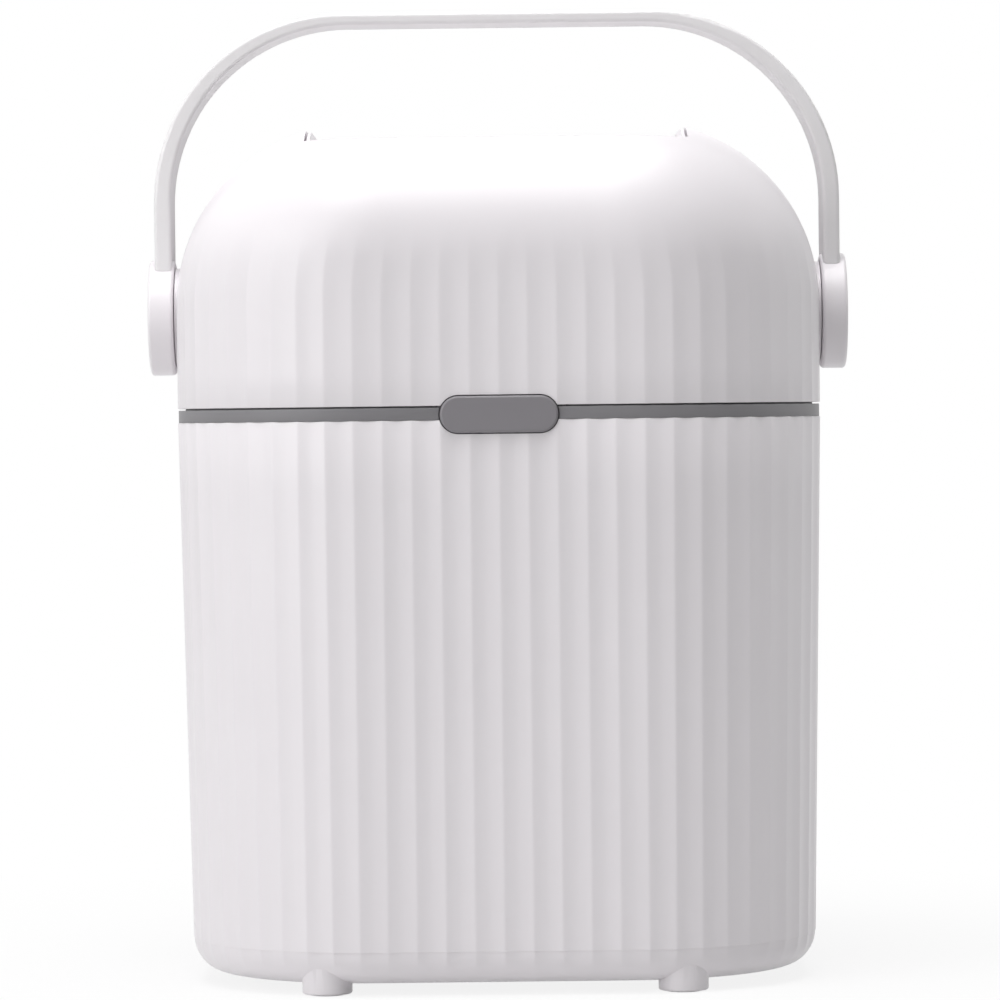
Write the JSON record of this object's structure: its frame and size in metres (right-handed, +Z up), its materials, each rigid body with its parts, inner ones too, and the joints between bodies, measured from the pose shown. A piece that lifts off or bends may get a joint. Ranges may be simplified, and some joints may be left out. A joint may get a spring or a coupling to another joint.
{
  "type": "diaper pail",
  "caption": "Upright diaper pail with a fluted tub, domed hinged lid with a push button latch, lift-out bucket with bag ring, and a bail handle that swings over the lid.",
  "frame": {"origin": "on the floor under the middle of the body, midway between the hubs and at the middle of the closed pail's depth", "axes": "+Z up, the front with the latch button faces -Y, the hinge is on the +Y side, the handle pivots about X"},
  "size_m": [0.2598, 0.2069, 0.3573],
  "materials": {
    "white_plastic": "glossy",
    "handle_plastic": "satin",
    "gray_plastic": "satin",
    "button_plastic": "satin",
    "inner_plastic": "satin",
    "steel": "bright zinc",
    "seal_rubber": "matt",
    "pad_rubber": "matt",
    "charcoal_felt": "matt"
  },
  "bodies": {
    "base": {"tub_shell": "white_plastic", "rim_band": "gray_plastic", "inner_bucket": "inner_plastic", "bag_ring": "inner_plastic", "latch_housing": "gray_plastic", "latch_pin": "steel", "latch_spring": "steel", "latch_screws": "steel", "hinge_pin_left": "steel", "hinge_pin_right": "steel", "foot_pad_front_left": "pad_rubber", "foot_pad_front_right": "pad_rubber", "foot_pad_rear_left": "pad_rubber", "foot_pad_rear_right": "pad_rubber"},
    "lid": {"lid_shell": "white_plastic", "lid_tray": "white_plastic", "lid_liner": "inner_plastic", "liner_screws": "steel", "lid_seal": "seal_rubber", "axle_left": "gray_plastic", "axle_right": "gray_plastic", "axle_washer_left": "steel", "axle_washer_right": "steel", "axle_screws": "steel"},
    "handle": {"handle_strap": "handle_plastic", "hub_left": "white_plastic", "hub_right": "white_plastic", "hub_cap_left": "white_plastic", "hub_cap_right": "white_plastic", "strap_screws": "steel"},
    "button": {"latch_button": "button_plastic"},
    "hook": {"latch_hook": "gray_plastic"},
    "charcoal_holder": {"charcoal_cap": "inner_plastic", "charcoal_pack": "charcoal_felt"}
  },
  "joints": [
    {"name": "lid_hinge", "type": "hinge", "parent": "base", "child": "lid", "pos_m": [0, 0.1022, 0.2105], "axis": [-1, 0, 0], "range_deg": [0, 100]},
    {"name": "handle_swing", "type": "hinge", "parent": "lid", "child": "handle", "pos_m": [0, 0, 0.2451], "axis": [1, 0, 0], "range_deg": [-97, 97]},
    {"name": "button_press", "type": "slide", "parent": "base", "child": "button", "axis": [0, 1, 0], "range_m": [0, 0.002], "stiffness_N_per_m": 500},
    {"name": "latch_turn", "type": "hinge", "parent": "base", "child": "hook", "pos_m": [0, -0.0924, 0.19475], "axis": [-1, 0, 0], "range_deg": [0, 9]},
    {"name": "cap_twist", "type": "hinge", "parent": "lid", "child": "charcoal_holder", "pos_m": [0, 0, 0.214], "axis": [0, 0, 1], "range_deg": [0, 60]}
  ],
  "couplings": [
    {"joint": "latch_turn", "follows": "button_press", "rad_per_m": 76.923}
  ]
}
